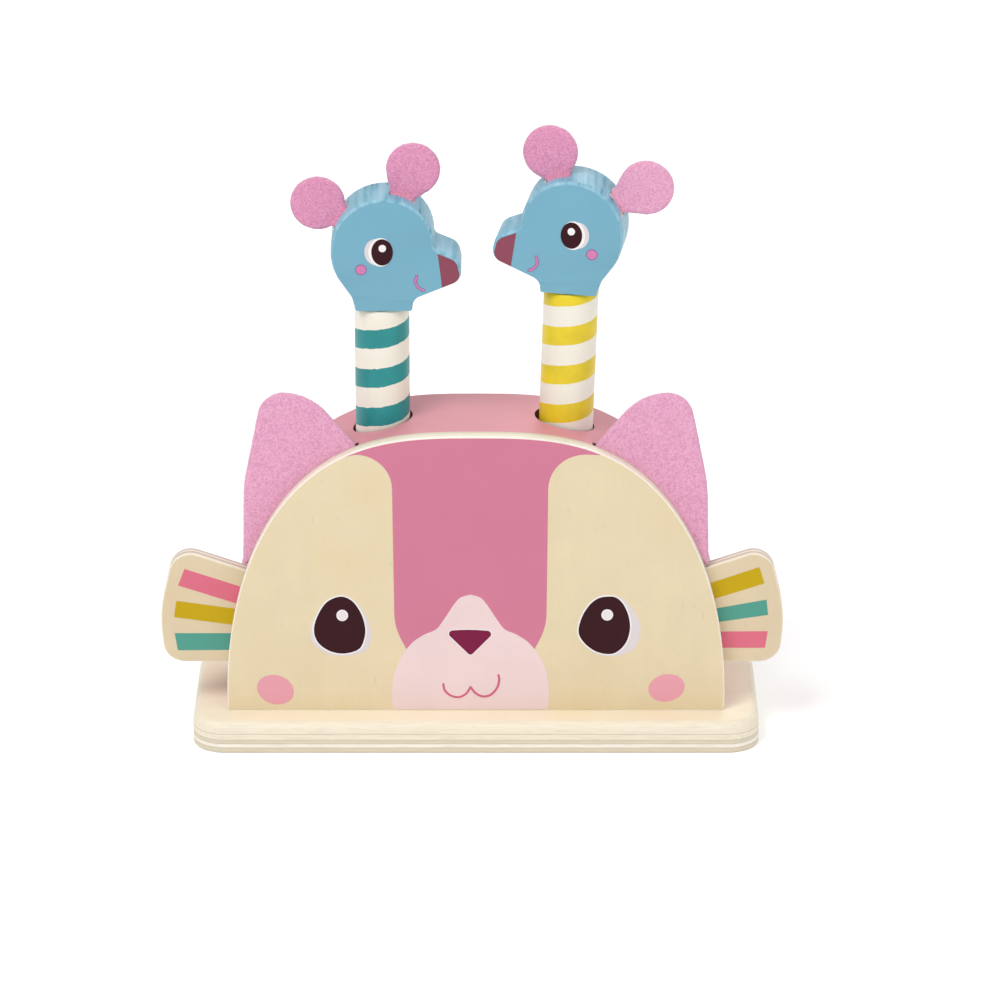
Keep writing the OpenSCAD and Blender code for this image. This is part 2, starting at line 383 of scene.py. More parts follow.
def striped(name, side, colour, phase, raggedness):
    """A painted stripe that climbs round the peg; raggedness, in millimetres, is that of its edges."""
    s = Shader(name)
    own = s.nodes.new("ShaderNodeMapping")
    own.vector_type = "TEXTURE"
    own.inputs["Location"].default_value = NECK[side].translation * MM
    own.inputs["Rotation"].default_value = (0, math.radians(LEAN[side]), 0)
    s.links.new(s.coords, own.inputs["Vector"])
    x, y, height = s.axes(own.outputs["Vector"])
    turn = s.math("ARCTAN2", x, s.math("MULTIPLY", y, -1))
    climb = s.math("MULTIPLY", turn, STRIPE_PITCH * MM / math.tau)
    sway = s.math("MULTIPLY", s.math("SINE", turn), -STRIPE_SWAY * MM)
    ragged = s.uneven(s.noise(420, 4, roughness=0.6), raggedness)
    path = s.math("SUBTRACT", s.math("ADD", height, ragged), s.math("ADD", climb, sway))
    share = s.math("ADD", s.math("DIVIDE", path, STRIPE_PITCH * MM), phase)
    share = s.math("FRACT", s.math("ADD", share, WHOLE_TURNS))
    on = s.math("LESS_THAN", share, STRIPE_SHARE)
    tone = s.noise(70, 3)
    paint_tone = s.mix(s.spread(tone, 0.4, 0.65), colour, shaded(colour, 0.82))
    white_tone = s.mix(s.spread(tone, 0.4, 0.7), PEG_WHITE, PEG_WHITE_DEEP)
    toned = s.mix(on, white_tone, paint_tone)
    grain = s.noise(1, 3, s.stretched(grained(PEG_GRAIN, 2)))
    s.bump(on, 0.03, 0.5)
    s.bump(grain, 0.03, 0.5)
    return s.finish(toned, 0.4)


def metal(name):
    """Zinc plated steel, with fine rings round z."""
    s = Shader(name)
    s.bsdf.inputs["Metallic"].default_value = 1.0
    turned = s.noise(1, 3, s.stretched((300, 300, 4000)))
    s.bump(turned, 0.02, 0.5)
    return s.finish(s.mix(turned, STEEL, shaded(STEEL, 0.75)), s.line(turned, 0.2, 0.25))


# The tones of the plies, and the heights of the glue lines between them
BASE_PLIES = [PLY_DARK, PLY_PALE, PLY_DARK, PLY_LIGHT, PLY_LIGHT]
PANEL_PLIES = [PLY_PALE, PLY_LIGHT, PLY_DARK]
WHISKER_PLIES = [PLY_LIGHT, PLY_ROSE, PLY_LIGHT, PLY_ROSE]
BASE_LINES = [2.2, 3.8, 5.3, 7.7]
PANEL_LINES = [2.1, 4.3]
WHISKER_LINES = [1.5, 2.9, 4.4]

# Colour and the axis of the grain
WOODS = {
    "panel_wood": (srgb(228, 211, 175), 2),
    "base_wood": (srgb(241, 228, 203), 0),
    "raw_wood": (srgb(238, 218, 190), 1),
    # The whisker plates' wood is the panel's made darker: painted shade
    "plate_wood": (srgb(221, 202, 169), 2),
}
# The axis that plies are stacked along, where the stack starts, its thickness, glue lines and tones
PLY_EDGES = {
    "base_edge": (2, 0, BASE_T, BASE_LINES, BASE_PLIES),
    "panel_edge": (1, PANEL_FRONT, PANEL_T, PANEL_LINES, PANEL_PLIES),
    "whisker_edge": (1, PANEL_BACK, PANEL_T, WHISKER_LINES, WHISKER_PLIES),
}
# Colour, roughness, and where they aren't the usual ones the axis of the grain and the gloss
PAINTS = {
    "seat_cream": (srgb(253, 246, 232), 0.7, 1),
    "block_pink": (srgb(219, 145, 156), 0.38, 0),
    # The block's pink darkened, for the bores, the pockets and the joint under each head: painted shade
    "bore_dark": (srgb(120, 72, 72), 0.7, 2),
    "blaze_pink": (srgb(209, 120, 148), 0.42, 2),
    "muzzle_pink": (srgb(237, 212, 211), 0.42, 2),
    "nose_plum": (srgb(124, 26, 66), 0.4, None, 0.15),
    "mouth_pink": (srgb(208, 96, 126), 0.4),
    "cheek_pink": (srgb(231, 158, 172), 0.42, 2),
    "pupil_brown": (srgb(53, 15, 23), 0.38, None, 0.15),
    "eye_white": (srgb(244, 240, 240), 0.4),
    "eye_shade": (srgb(222, 212, 214), 0.4),
    "highlight": (srgb(236, 226, 230), 0.4),
    "mouse_face": (MOUSE_BLUE, 0.42, 2),
    "mouse_nose": (srgb(140, 70, 88), 0.42, None, 0.25),
    "mouse_blush": (srgb(206, 120, 172), 0.42),
    "blush_line": (srgb(120, 80, 140), 0.42),
    "bar_pink": (srgb(222, 112, 134), 0.42, 2, 0.2),
    "bar_yellow": (srgb(200, 167, 8), 0.42, 2, 0.2),
    "bar_teal": (srgb(84, 158, 142), 0.42, 2, 0.2),
}

M = {
    "mouse_edge": brushed_blue("mouse_edge"),
    "peg_left": striped("peg_left_paint", LEFT, TEAL, 0.949, 1.1),
    "peg_right": striped("peg_right_paint", RIGHT, YELLOW, 0.293, 0.5),
    "felt": felt("felt", FELT_LIGHT, FELT_MID, FELT_DARK),
    "felt_pale": felt("felt_pale", FELT_PALE_LIGHT, FELT_PALE_MID, FELT_PALE_DARK),
    "steel": metal("steel"),
}
for make, looks in ((wood_face, WOODS), (ply_edge, PLY_EDGES), (paint, PAINTS)):
    for name, look in looks.items():
        M[name] = make(name, *look)


# ---- outlines, in millimetres ---------------------------------------------


def round_corner(before, corner, after, radius, steps=8):
    """Points of the arc that rounds a corner of an outline."""
    b = Vector(corner)
    to_a = (Vector(before) - b).normalized()
    to_c = (Vector(after) - b).normalized()
    half = to_a.angle(to_c) / 2
    middle = b + (to_a + to_c).normalized() * radius / math.sin(half)
    start = b + to_a * radius / math.tan(half) - middle
    side = math.copysign(1, to_c.x * to_a.y - to_c.y * to_a.x)
    sweep = side * (math.pi - 2 * half)
    return [middle + Matrix.Rotation(sweep * i / steps, 2) @ start for i in range(steps + 1)]


def rounded(corners, steps=8):
    """A closed outline through corners (x, z, radius); a corner of radius 0 stays sharp."""
    points = []
    for i, (x, z, radius) in enumerate(corners):
        before, after = corners[i - 1], corners[(i + 1) % len(corners)]
        if radius:
            points += round_corner(before[:2], (x, z), after[:2], radius, steps)
        else:
            points.append(Vector((x, z)))
    return points


def spline(a, b, c, d, steps):
    """Points of a Catmull-Rom curve, from b to just before c."""
    out = []
    for k in range(steps):
        t = k / steps
        bend = (2 * a - 5 * b + 4 * c - d) * t**2 + (3 * b - a - 3 * c + d) * t**3
        out.append(0.5 * (2 * b + (c - a) * t + bend))
    return out


def smooth_loop(points, steps=8):
    """A closed smooth curve through the points."""
    n = len(points)
    p = [Vector(q) for q in points]
    out = []
    for i in range(n):
        out += spline(p[i - 1], p[i], p[(i + 1) % n], p[(i + 2) % n], steps)
    return out


def open_curve(points, steps=8):
    """A smooth curve through points with two ends."""
    p = [Vector(q) for q in points]
    p = [2 * p[0] - p[1], *p, 2 * p[-1] - p[-2]]
    out = []
    for i in range(1, len(p) - 2):
        out += spline(*p[i - 1 : i + 3], steps)
    return [*out, p[-2]]


def circle(steps):
    """The cosine and sine at even steps round a circle."""
    angles = [math.tau * i / steps for i in range(steps)]
    return [(math.cos(a), math.sin(a)) for a in angles]


def ellipse(x, z, half_w, half_h, tilt=0.0):
    """An ellipse; tilt is in degrees."""
    turn = Matrix.Rotation(math.radians(tilt), 2)
    return [Vector((x, z)) + turn @ Vector((half_w * c, half_h * s)) for c, s in circle(48)]


def stroke(points, width):
    """The outline of a line of even width with round ends."""
    cap_steps = 8
    p = [Vector(q) for q in points]
    sides = []
    for i in range(len(p)):
        along = (p[min(i + 1, len(p) - 1)] - p[max(i - 1, 0)]).normalized()
        sides.append(Vector((-along.y, along.x)) * width / 2)
    caps = [Matrix.Rotation(-math.pi * i / cap_steps, 2) for i in range(1, cap_steps)]
    out = [q + s for q, s in zip(p, sides)]
    out += [p[-1] + cap @ sides[-1] for cap in caps]
    out += [q - s for q, s in zip(reversed(p), reversed(sides))]
    out += [p[0] - cap @ sides[0] for cap in caps]
    return out


def signed_area(outline):
    """The area inside an outline, above zero where it runs anticlockwise."""
    return sum(outline[i - 1].x * p.y - p.x * outline[i - 1].y for i, p in enumerate(outline)) / 2


# Keeps a sharp corner from running away when its outline is moved
LEAST_COSINE = 0.3


def inset(outline, amount, weight=None):
    """The outline moved inwards; weight(x, z) of the outwards direction scales the amount."""
    n = len(outline)
    inwards = 1 if signed_area(outline) > 0 else -1
    out = []
    for i, b in enumerate(outline):
        along_in = (b - outline[i - 1]).normalized()
        along_out = (outline[(i + 1) % n] - b).normalized()
        normal_in = Vector((-along_in.y, along_in.x))
        normal_out = Vector((-along_out.y, along_out.x))
        normal = (normal_in + normal_out).normalized() * inwards
        share = weight(-normal.x, -normal.y) if weight else 1
        out.append(b + normal * share * amount / max(LEAST_COSINE, abs(normal.dot(normal_out))))
    return out


def arch(half_w, top):
    """The arch's curve from right to left: straight feet, then blunter than an ellipse."""
    steps = 96
    out = []
    for i in range(steps + 1):
        turn = math.pi * i / steps
        c = math.cos(turn)
        x = half_w * math.copysign(abs(c) ** ARCH_POWER, c)
        out.append(Vector((x, ARCH_FOOT + (top - ARCH_FOOT) * math.sin(turn))))
    return out


def arch_outline(half_w, top, foot_radius):
    """The whole arch, its foot corners rounded."""
    left, right = (-half_w, BASE_T), (half_w, BASE_T)
    foot = [(-half_w, ARCH_FOOT), left, right, (half_w, ARCH_FOOT)]
    return [
        *round_corner(*foot[:3], foot_radius, 4),
        *round_corner(*foot[1:], foot_radius, 4),
        *arch(half_w, top),
    ]


# ---- meshes ---------------------------------------------------------------

SMOOTH_BELOW = math.radians(34)


def solid_mesh(name, verts, faces, weld=False):
    """A mesh, given in millimetres, with its faces turned outwards."""
    mesh = bpy.data.meshes.new(name)
    mesh.from_pydata([tuple(Vector(v) * MM) for v in verts], [], faces)
    bm = bmesh.new()
    bm.from_mesh(mesh)
    if weld:
        bmesh.ops.remove_doubles(bm, verts=bm.verts, dist=1e-7)
    bmesh.ops.recalc_face_normals(bm, faces=bm.faces)
    bm.to_mesh(mesh)
    bm.free()
    return mesh


def new_object(name, data):
    """An object in the scene that holds a mesh, a lamp or a camera."""
    obj = bpy.data.objects.new(name, data)
    bpy.context.scene.collection.objects.link(obj)
    return obj


def new_piece(name, body, verts, faces, materials, slot=None, pick=None):
    """A closed piece that rides on a body; pick(polygon) chooses among its materials."""
    mesh = solid_mesh(name, verts, faces, weld=True)
    for key in materials:
        mesh.materials.append(M[key])
    obj = new_object(name, mesh)
    finish_shading(obj)
    if pick:
        for polygon in mesh.polygons:
            polygon.material_index = pick(polygon)
    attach(obj, body)
    return obj


def finish_shading(obj):
    for polygon in obj.data.polygons:
        polygon.use_smooth = True
    obj.data.set_sharp_from_angle(angle=SMOOTH_BELOW)


def loft(rings):
    """Vertices and faces of a solid through rings of points, closed at both ends."""
    n = len(rings[0])
    verts = [p for ring in rings for p in ring]
    faces = []
    for r in range(len(rings) - 1):
        for i in range(n):
            j = (i + 1) % n
            faces.append((r * n + i, r * n + j, (r + 1) * n + j, (r + 1) * n + i))
    faces.append(tuple(range(n)))
    faces.append(tuple(range((len(rings) - 1) * n, len(rings) * n)))
    return verts, faces


def edge_profile(low, high, low_round, high_round):
    """(inset, height) of each ring of a board whose two rims are rounded."""
    steps = 4
    rings = []
    for i in range(steps + 1):
        a = math.pi / 2 * i / steps
        rings.append((low_round * (1 - math.sin(a)), low + low_round * (1 - math.cos(a))))
        if not low_round:
            break
    for i in range(steps + 1):
        a = math.pi / 2 * i / steps
        rings.append((high_round * (1 - math.cos(a)), high - high_round * (1 - math.sin(a))))
        if not high_round:
            break
    return rings


def board(outline, low, high, low_round, high_round, place, weight=None):
    """A board of an outline; place turns (x, z, height) into a point of the frame."""
    rings = []
    for amount, height in edge_profile(low, high, low_round, high_round):
        ring = inset(outline, amount, weight) if amount else outline
        rings.append([place(p.x, p.y, height) for p in ring])
    return loft(rings)


def upright(x, z, depth):
    """Boards that stand: the outline is in x and z, and the thickness runs along y."""
    return (x, depth, z)


def flat(x, y, height):
    return (x, y, height)


# The cosine from which a polygon counts as part of a flat face
FLAT_COSINE = 0.992


def face_or_edge(direction):
    """Material 0 on the faces square to a direction, 1 on the rims."""
    return lambda polygon: 0 if abs(polygon.normal.dot(direction)) > FLAT_COSINE else 1


ALONG_Y = Vector((0, 1, 0))
ALONG_Z = Vector((0, 0, 1))


def evaluated(obj):
    """Applies the modifiers of a piece to its mesh."""
    depsgraph = bpy.context.evaluated_depsgraph_get()
    mesh = bpy.data.meshes.new_from_object(obj.evaluated_get(depsgraph))
    obj.modifiers.clear()
    old = obj.data
    obj.data = mesh
    bpy.data.meshes.remove(old)
    return obj


def cut(obj, cutters):
    """Cuts closed solids, given as (verts, faces, material) in millimetres, out of a piece."""
    for verts, faces, material in cutters:
        mesh = solid_mesh("cutter", verts, faces)
        mesh.materials.append(M[material])
        tool = new_object("cutter", mesh)
        modifier = obj.modifiers.new("cut", "BOOLEAN")
        modifier.operation = "DIFFERENCE"
        modifier.solver = "EXACT"
        modifier.material_mode = "TRANSFER"
        modifier.object = tool
        bpy.context.view_layer.update()
        evaluated(obj)
        bpy.data.objects.remove(tool)
    finish_shading(obj)


def box_solid(x0, x1, y0, y1, z0, z1, place):
    """A box between limits, each corner put through place."""
    rings = [
        [place(*p) for p in ((x0, y0, z), (x1, y0, z), (x1, y1, z), (x0, y1, z))]
        for z in (z0, z1)
    ]
    return loft(rings)


def drum(centre, radius, z0, z1, steps=96):
    """An upright cylinder."""
    ring = [(centre.x + radius * c, centre.y + radius * s) for c, s in circle(steps)]
    return loft([[(x, y, z) for x, y in ring] for z in (z0, z1)])


# The height of a layer of print, and how deep it is rooted in its face
PRINT_STEP = 0.05
PRINT_ROOT = 0.03


def print_on(name, outline, face_y, layer, material, body, towards=-1, place=upright):
    """A coat of print on a face square to y: a very thin solid, one step higher for each layer."""
    root = face_y - towards * PRINT_ROOT
    top = face_y + towards * PRINT_STEP * (layer + 1)
    rings = [[place(p.x, p.y, depth) for p in outline] for depth in (root, top)]
    return new_piece(name, body, *loft(rings), [material])


# ---- camera and light -----------------------------------------------------

PHOTO_PIXELS = 1000
FOCAL_PIXELS = 5030
SENSOR_MM = 36
SKY_LIGHT = 0.55
BACKDROP = 1.0
FLOOR_GLOW = 0.22
FLOOR_HALF = 6
CAMERA_AT = (0.0089, -1.7249, 0.7838)
CAMERA_PITCH = 22


def add_camera():
    data = bpy.data.cameras.new("camera")
    data.sensor_width = SENSOR_MM
    data.lens = FOCAL_PIXELS / PHOTO_PIXELS * SENSOR_MM
    data.clip_start = 0.05
    camera = new_object("camera", data)
    camera.location = CAMERA_AT
    camera.rotation_euler = (math.radians(90 - CAMERA_PITCH), 0, 0)
    bpy.context.scene.camera = camera


LIGHT_TARGET = Vector((0, 0, 0.1))


def add_area(name, at, size, power):
    """A round lamp, its place and size in metres, that shines at the toy's middle."""
    data = bpy.data.lights.new(name, "AREA")
    data.shape = "DISK"
    data.size = size
    data.energy = power
    lamp = new_object(name, data)
    lamp.location = at
    aim = LIGHT_TARGET - Vector(at)
    lamp.rotation_euler = aim.to_track_quat("-Z", "Y").to_euler()


def white_to_camera(tree, lit, out):
    """Adds a glow that only the camera and mirror-like rays see."""
    path = tree.nodes.new("ShaderNodeLightPath")
    seen = tree.nodes.new("ShaderNodeMath")
    seen.operation = "MAXIMUM"
    tree.links.new(path.outputs["Is Camera Ray"], seen.inputs[0])
    tree.links.new(path.outputs["Is Glossy Ray"], seen.inputs[1])
    glow = tree.nodes.new("ShaderNodeEmission")
    level = tree.nodes.new("ShaderNodeMath")
    level.operation = "MULTIPLY"
    level.inputs[1].default_value = FLOOR_GLOW
    tree.links.new(seen.outputs[0], level.inputs[0])
    tree.links.new(level.outputs[0], glow.inputs["Strength"])
    both = tree.nodes.new("ShaderNodeAddShader")
    tree.links.new(lit, both.inputs[0])
    tree.links.new(glow.outputs[0], both.inputs[1])
    tree.links.new(both.outputs[0], out)


def add_world():
    """White to the camera, and a softer white light on the rest."""
    world = bpy.data.worlds.new("studio")
    bpy.context.scene.world = world
    world.use_nodes = True
    tree = world.node_tree
    tree.nodes.clear()
    choose = tree.nodes.new("ShaderNodeMixShader")
    for socket, strength in ((1, SKY_LIGHT), (2, BACKDROP)):
        light = tree.nodes.new("ShaderNodeBackground")
        light.inputs["Color"].default_value = WHITE
        light.inputs["Strength"].default_value = strength
        tree.links.new(light.outputs[0], choose.inputs[socket])
    path = tree.nodes.new("ShaderNodeLightPath")
    tree.links.new(path.outputs["Is Camera Ray"], choose.inputs["Fac"])
    out = tree.nodes.new("ShaderNodeOutputWorld")
    tree.links.new(choose.outputs[0], out.inputs["Surface"])


def add_floor():
    mesh = bpy.data.meshes.new("floor")
    corners = [(x * FLOOR_HALF, y * FLOOR_HALF, 0) for x, y in ((-1, -1), (1, -1), (1, 1), (-1, 1))]
    mesh.from_pydata(corners, [], [(0, 1, 2, 3)])
    floor = new_object("floor", mesh)
    s = Shader("floor")
    s.finish(FLOOR_WHITE, 0.9)
    s.bsdf.inputs["Specular IOR Level"].default_value = 0.1
    out = s.nodes["Material Output"]
    white_to_camera(s.material.node_tree, s.bsdf.outputs[0], out.inputs["Surface"])
    mesh.materials.append(s.material)


def set_stage():
    bpy.context.scene.view_settings.view_transform = "Standard"
    add_camera()
    add_world()
    add_floor()
    add_area("key", (-0.9, -1.1, 1.9), 1.2, 26)
    add_area("fill", (1.5, -0.8, 1.1), 1.2, 7)
    add_area("back", (0.3, 1.5, 1.3), 1.0, 6)


# ---- base and arch --------------------------------------------------------


# How far each board's rims are rounded
BASE_FOOT_EDGE = 0.9
BLOCK_EDGE = 0.6
PANEL_EDGES = (0.35, 0.3)
WHISKER_EDGE = 0.4
FELT_EDGE = 0.8
# What is cut out of the right side of the block for a cat ear and a whisker plate
EAR_POCKET = [(42.7, 110.7), (86.2, 65.3), (99, 70), (99, 130), (42.7, 130)]
WHISKER_POCKET = [(77.9, 29), (99, 29), (99, 71.5), (77.9, 64)]
# Both whisker plates sit a little left of where the two sides would mirror
WHISKERS_SHIFT = -1.4


def add_base():
    w, d = base_high.x, base_high.y
    outline = rounded(
        [(-w, -d, BASE_CORNER), (w, -d, BASE_CORNER), (w, d, BASE_CORNER), (-w, d, BASE_CORNER)], 12
    )
    piece = new_piece(
        "base_board", "base", *board(outline, 0, BASE_T, BASE_FOOT_EDGE, BASE_EDGE, flat),
        ["base_wood", "base_edge"], "plywood", face_or_edge(ALONG_Z),
    )
    screw_low, screw_high = node_box("base_screws")
    head_r = (screw_high.y - screw_low.y) / 2 + SCREW_PLAY
    middle_y = (screw_low.y + screw_high.y) / 2
    seats = []
    sink = screw_low.z + SCREW_HEAD_T
    for x in (screw_low.x + head_r, 0, screw_high.x - head_r):
        seats.append((*drum(Vector((x, middle_y)), head_r, -PAST, sink, 32), "raw_wood"))
    for side in (LEFT, RIGHT):
        spring_low, spring_high = node_box("spring_" + SIDE_NAMES[side])
        seat_r = (spring_high.y - spring_low.y) / 2 + SEAT_PLAY
        seats.append((*drum(bore_middle(side), seat_r, spring_low.z, BASE_T + PAST), "raw_wood"))
    cut(piece, seats)
    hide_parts("base_plate")


def mirror_place(side, shift=0):
    """Boards that stand, mirrored on the left side, then moved along x."""

    def put(x, z, depth):
        return (side * x + shift, depth, z)

    return put


def add_block():
    outline = arch_outline(block_high.x, block_high.z, 0.5)
    piece = new_piece(
        "arch_block", "base", *board(outline, block_low.y, block_high.y, 0, BLOCK_EDGE, upright),
        ["block_pink"], "pink_paint",
    )
    cutters = []
    for side in (LEFT, RIGHT):
        middle = bore_middle(side)
        # Bores and pockets are lined with painted shade
        cutters.append((*drum(middle, BORE_R, SHOULDER_Z - PAST, block_high.z + 3 * PAST), "bore_dark"))
        cutters.append((*drum(middle, WELL_R, BASE_T - PAST, SHOULDER_Z), "bore_dark"))
        pockets = ((EAR_POCKET, FELT_T, 0), (WHISKER_POCKET, PANEL_T, WHISKERS_SHIFT))
        for pocket, deep, shift in pockets:
            front, back = block_low.y - PAST, block_low.y + deep + POCKET_PLAY
            put = mirror_place(side, shift)
            rings = [[put(x, z, y) for x, z in pocket] for y in (front, back)]
            cutters.append((*loft(rings), "bore_dark"))
    cut(piece, cutters)
    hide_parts("body_block")


def add_panel():
    outline = arch_outline(panel_high.x, panel_high.z, 1.8)
    piece = new_piece(
        "face_panel", "base", *board(outline, PANEL_FRONT, PANEL_BACK, *PANEL_EDGES, upright),
        ["panel_wood", "panel_edge"], "plywood", face_or_edge(ALONG_Y),
    )
    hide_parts("front_panel")


# ---- the cat's face -------------------------------------------------------

# The print sits a little left of the panel's middle
FACE_X = -2.0
PATCH_HALF = 28.2
PATCH_TOP = 114.0
# The widths of the mouth's line and of the white rims round the nose and the pupils
MOUTH_LINE = 0.85
NOSE_RIM = 0.35
PUPIL_RIM = 0.55


def add_blaze():
    """The coloured field between the two bare wood patches, up to a rim along the panel's edge."""
    rim = 0.4
    curve = arch(panel_high.x - rim, panel_high.z - rim)
    join_right, join_left = 48.2, -48.4
    top = [p for p in curve if join_left < p.x < join_right]
    right_side = [
        (FACE_X + PATCH_HALF + 14.5, PATCH_TOP, 14),
        (FACE_X + PATCH_HALF + 0.4, PATCH_TOP, 13.5),
        (FACE_X + PATCH_HALF - 0.2, 45.6, 25),
        (FACE_X + 22.6, 34.6, 0),
    ]
    left_side = [(2 * FACE_X - x, z, r) for x, z, r in reversed(right_side)]
    start, end = top[0], top[-1]
    corners = [(start.x, start.y, 0), *right_side, *left_side, (end.x, end.y, 0)]
    side_points = rounded(corners, 10)
    outline = [*reversed(top), *side_points[1:-1]]
    print_on("blaze", outline, PANEL_FRONT, 0, "blaze_pink", "base")


def add_muzzle():
    half = [
        (0, 58.7), (3.6, 57.5), (6.0, 54.8), (8.9, 50.1), (11.5, 46.1), (12.8, 44.7), (14.2, 43.9),
        (17.1, 42.6), (21.4, 39.5), (25.1, 34.5), (27.9, 28.2), (29.0, 21.5), (29.1, 16.5), (28.7, 12.5),
    ]
    right = open_curve(half, 6)
    outline = [Vector((FACE_X + p.x, p.y)) for p in right]
    outline += [Vector((FACE_X - p.x, p.y)) for p in reversed(right[1:])]
    print_on("muzzle", outline, PANEL_FRONT, 1, "muzzle_pink", "base")
    corners = [(-9.6, 44.2, 1.4), (0, 34.1, 1.2), (9.2, 44.0, 1.4), (0, 44.8, 60)]
    nose = rounded([(FACE_X + x, z, radius) for x, z, radius in corners])
    print_on("cat_nose_rim", inset(nose, -NOSE_RIM), PANEL_FRONT, 2, "eye_white", "base")
    print_on("cat_nose", nose, PANEL_FRONT, 3, "nose_plum", "base")
    middle = (0, 21.5)
    left_lobe = [(-10.1, 22.7), (-9.5, 20.1), (-7.4, 18.1), (-4.4, 17.4), (-1.7, 18.8), middle]
    right_lobe = [middle, (1.8, 19.1), (4.6, 17.7), (7.6, 18.5), (9.9, 21.4), (10.6, 24.6), (10.3, 26.3)]
    for name, lobe, layer in (("mouth_left", left_lobe, 2), ("mouth_right", right_lobe, 3)):
        line = open_curve([(FACE_X + x, z) for x, z in lobe])
        print_on(name, stroke(line, MOUTH_LINE), PANEL_FRONT, layer, "mouth_pink", "base")


def add_eye(name, pupil, shade, glint):
    """An egg shaped pupil with a thin white rim, a soft crescent behind it and a glint."""
    print_on(name + "_shade", smooth_loop(shade), PANEL_FRONT, 0, "eye_shade", "base")
    ring = inset(smooth_loop(pupil), -PUPIL_RIM)
    print_on(name + "_white", ring, PANEL_FRONT, 1, "eye_white", "base")
    print_on(name + "_pupil", smooth_loop(pupil), PANEL_FRONT, 2, "pupil_brown", "base")
    print_on(name + "_glint_rim", ellipse(*glint, 2.15, 2.25), PANEL_FRONT, 3, "eye_white", "base")
    print_on(name + "_glint", ellipse(*glint, 1.7, 1.8), PANEL_FRONT, 4, "highlight", "base")


def add_face():
    add_blaze()
    add_muzzle()
    add_eye(
        "left_eye",
        [
            (-49.7, 57.9), (-45.4, 56.0), (-42.4, 51.4), (-40.9, 46.2), (-41.0, 41.9), (-42.6, 37.5),
            (-45.8, 35.6), (-50.2, 35.1), (-54.8, 36.5), (-58.5, 39.9), (-59.7, 44.7), (-58.2, 50.4),
            (-54.8, 55.7),
        ],
        [
            (-49.5, 58.2), (-44.6, 56.2), (-40.6, 50.2), (-38.6, 43.4), (-39.6, 37.8), (-43.2, 35.0),
            (-50.0, 34.0), (-55.9, 35.4), (-60.0, 39.0), (-61.1, 43.9), (-58.8, 50.8), (-54.9, 55.9),
        ],
        (-49.2, 50.4),
    )
    add_eye(
        "right_eye",
        [
            (48.4, 57.9), (51.6, 57.5), (54.3, 54.8), (56.3, 50.0), (56.8, 44.7), (55.3, 39.3),
            (51.9, 35.6), (48.2, 34.9), (43.8, 36.2), (39.9, 39.5), (37.9, 43.6), (38.9, 49.2),
            (41.6, 54.2), (44.9, 57.1),
        ],
        [
            (51.0, 58.0), (55.3, 56.0), (58.9, 50.8), (60.6, 45.6), (60.1, 39.9), (57.3, 36.2),
            (52.6, 34.1), (47.6, 34.1), (43.0, 35.6), (40.0, 40.0), (44.0, 50.0), (47.0, 57.0),
        ],
        (48.4, 50.6),
    )
    cheeks = {"left_cheek": (-74.3, 20.4, 7.0, 5.8, -22), "right_cheek": (70.6, 21.1, 6.8, 5.5, 14)}
    for name, shape in cheeks.items():
        print_on(name, ellipse(*shape), PANEL_FRONT, 0, "cheek_pink", "base")


# ---- whisker plates and the cat's ears ------------------------------------

# Outlines are given for the right side, as corners (x, z, radius)
WHISKER = [(78, 29.1, 0.5), (113.8, 29.1, 8), (115.5, 49.1, 50), (109.4, 74.8, 8), (78, 63.8, 0.5)]
BARS = {
    LEFT: {
        "upper": [(84.5, 59.0), (105.9, 66.4), (108.4, 59.8), (84.5, 51.7)],
        "middle": [(84.5, 50.0), (109.2, 53.6), (110.2, 47.1), (84.5, 43.4)],
        "lower": [(86, 40.6), (110.1, 40.6), (109.1, 33.7), (86, 33.9)],
    },
    RIGHT: {
        "upper": [(84.5, 59.6), (105.8, 67.1), (107.8, 60.6), (84.5, 52.8)],
        "middle": [(84.5, 49.5), (108.7, 54.1), (109.4, 48.0), (84.5, 44.1)],
        "lower": [(86, 41.2), (109.4, 41.4), (108.5, 34.7), (86, 34.7)],
    },
}
BAR_PAINT = {
    LEFT: {"upper": "bar_pink", "middle": "bar_yellow", "lower": "bar_teal"},
    RIGHT: {"upper": "bar_yellow", "middle": "bar_teal", "lower": "bar_pink"},
}


def add_whisker(side):
    put = mirror_place(side, WHISKERS_SHIFT)
    name = "whisker_" + SIDE_NAMES[side]
    low, high = node_box(name)
    outline = rounded(WHISKER, 10)
    # The plate's faces carry painted shade: a darker copy of the panel's wood
    piece = new_piece(
        name + "_plate", "base", *board(outline, low.y, high.y, WHISKER_EDGE, WHISKER_EDGE, put),
        ["plate_wood", "whisker_edge"], "plywood", face_or_edge(ALONG_Y),
    )
    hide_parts(name)
    for bar, corners in BARS[side].items():
        shape = [Vector(c) for c in corners]
        print_on(f"{name}_{bar}_bar", shape, low.y, 0, BAR_PAINT[side][bar], "base", place=put)


# Corners (x, z, radius) of the right ear
CAT_EAR = [(43.3, 114.4, 1), (85.8, 66.4, 0.6), (84.9, 99.9, 60), (77.6, 135.7, 9.7), (60.1, 134.5, 21)]


# The grid that felt is remeshed on, and how far its surface is roughened
FELT_VOXEL = 0.75
FELT_ROUGH = 0.16
# Noise scales of the felt's tufts, and how much each counts
FELT_TUFTS = ((420, 0.6), (1300, 0.7))


def felt_surface(obj, material):
    """Remeshes a felt piece finely and roughens it, so that its outline is soft and uneven."""
    modifier = obj.modifiers.new("remesh", "REMESH")
    modifier.mode = "VOXEL"
    modifier.voxel_size = FELT_VOXEL * MM
    evaluated(obj)
    obj.data.materials.clear()
    obj.data.materials.append(M[material])
    for vertex in obj.data.vertices:
        tuft = sum(noise.noise(vertex.co * scale) * share for scale, share in FELT_TUFTS)
        vertex.co += vertex.normal * tuft * (FELT_ROUGH * MM)
    for polygon in obj.data.polygons:
        polygon.use_smooth = True


